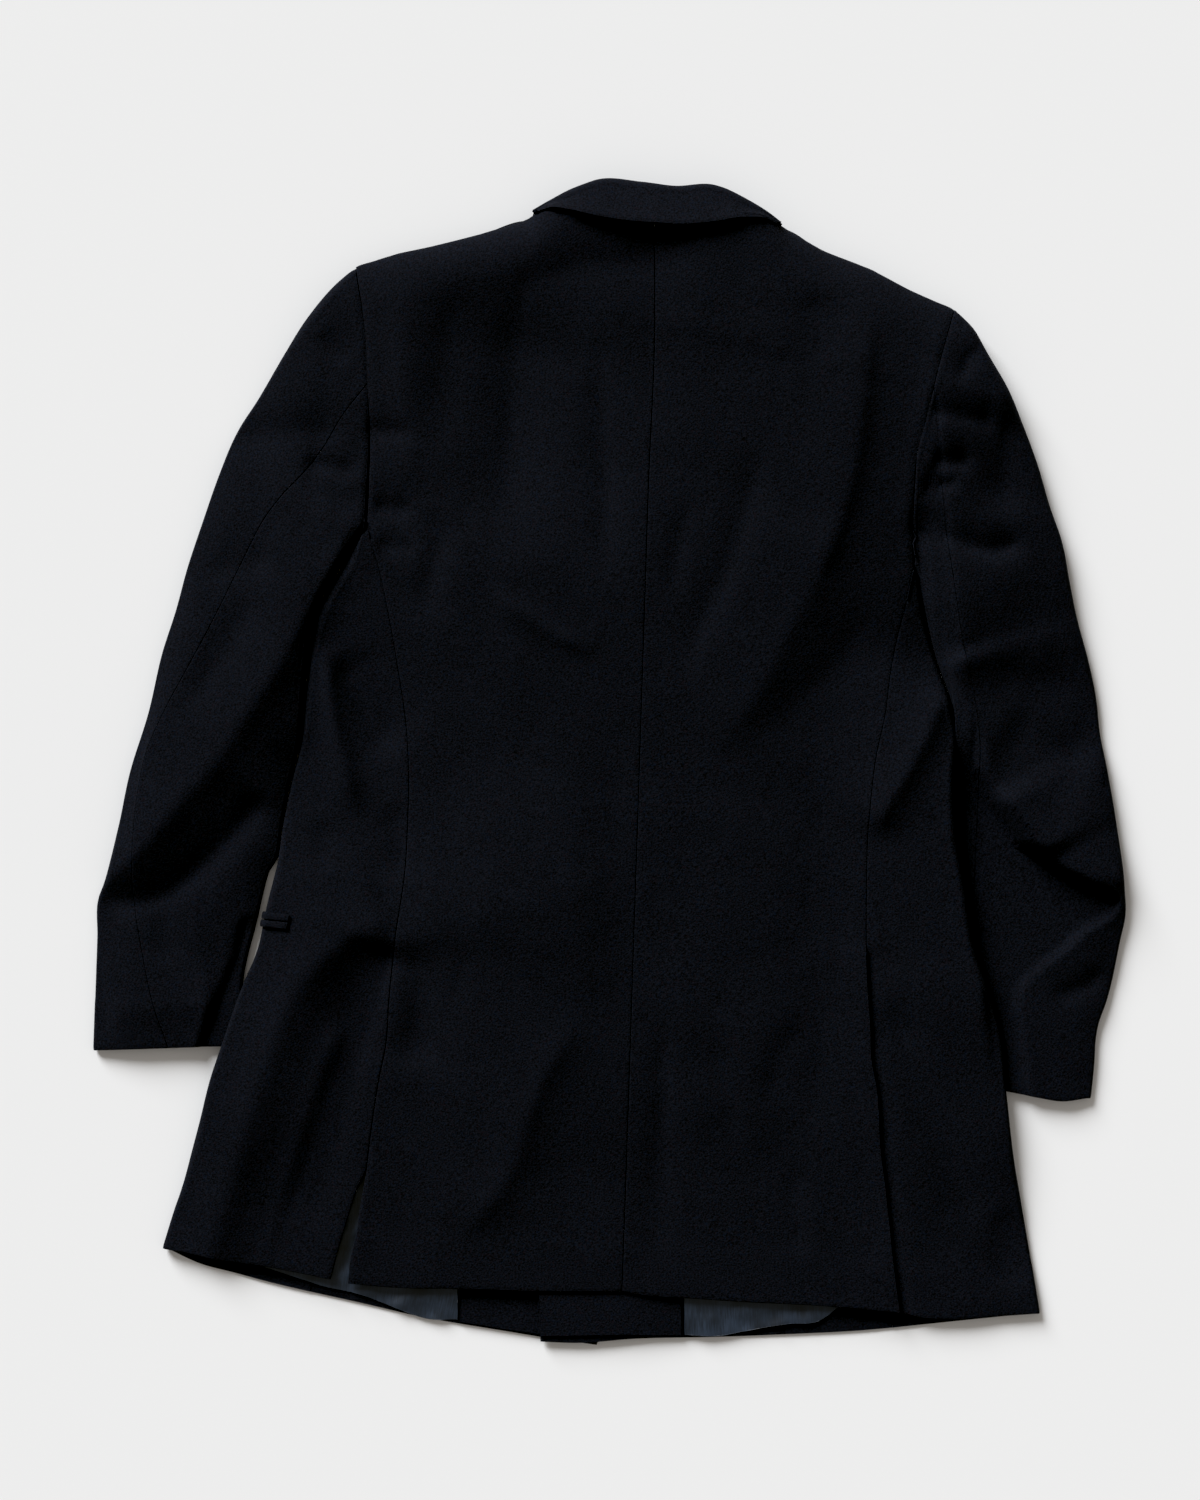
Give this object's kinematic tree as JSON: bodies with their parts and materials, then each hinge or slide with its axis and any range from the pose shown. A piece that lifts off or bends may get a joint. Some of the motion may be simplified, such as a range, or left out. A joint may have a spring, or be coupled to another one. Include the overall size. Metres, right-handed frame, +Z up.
{
  "type": "double-breasted blazer",
  "caption": "Double-breasted blazer in dark fulled wool, laid flat on its front with its back up, side vents open at the hem and sleeves at its sides.",
  "frame": {"origin": "on the surface that the blazer lies on, below the middle of its box", "axes": "+X towards the wearer's right and the viewer's right, +Y from the hem to the collar, +Z up from the surface, out of the back"},
  "size_m": [0.7716, 0.8712, 0.034],
  "materials": {
    "wool": "fulled wool with a short matt nap, very dark navy",
    "lining": "satin weave, dark slate blue",
    "horn": "polished dark horn"
  },
  "bodies": {
    "root": {"back_left": "wool", "back_right": "wool", "side_left": "wool", "side_right": "wool", "front_left": "wool", "front_right": "wool", "facing_left": "wool", "facing_right": "wool", "lining_left": "lining", "lining_right": "lining", "collar": "wool", "collar_end_left": "wool", "collar_end_right": "wool", "lapel_left": "wool", "lapel_right": "wool", "top_sleeve_left": "wool", "under_sleeve_left": "wool", "top_sleeve_right": "wool", "under_sleeve_right": "wool", "jet_upper_left": "wool", "jet_lower_left": "wool", "jet_upper_right": "wool", "jet_lower_right": "wool", "button_1": "horn", "button_2": "horn", "button_3": "horn", "button_4": "horn"}
  },
  "joints": []
}
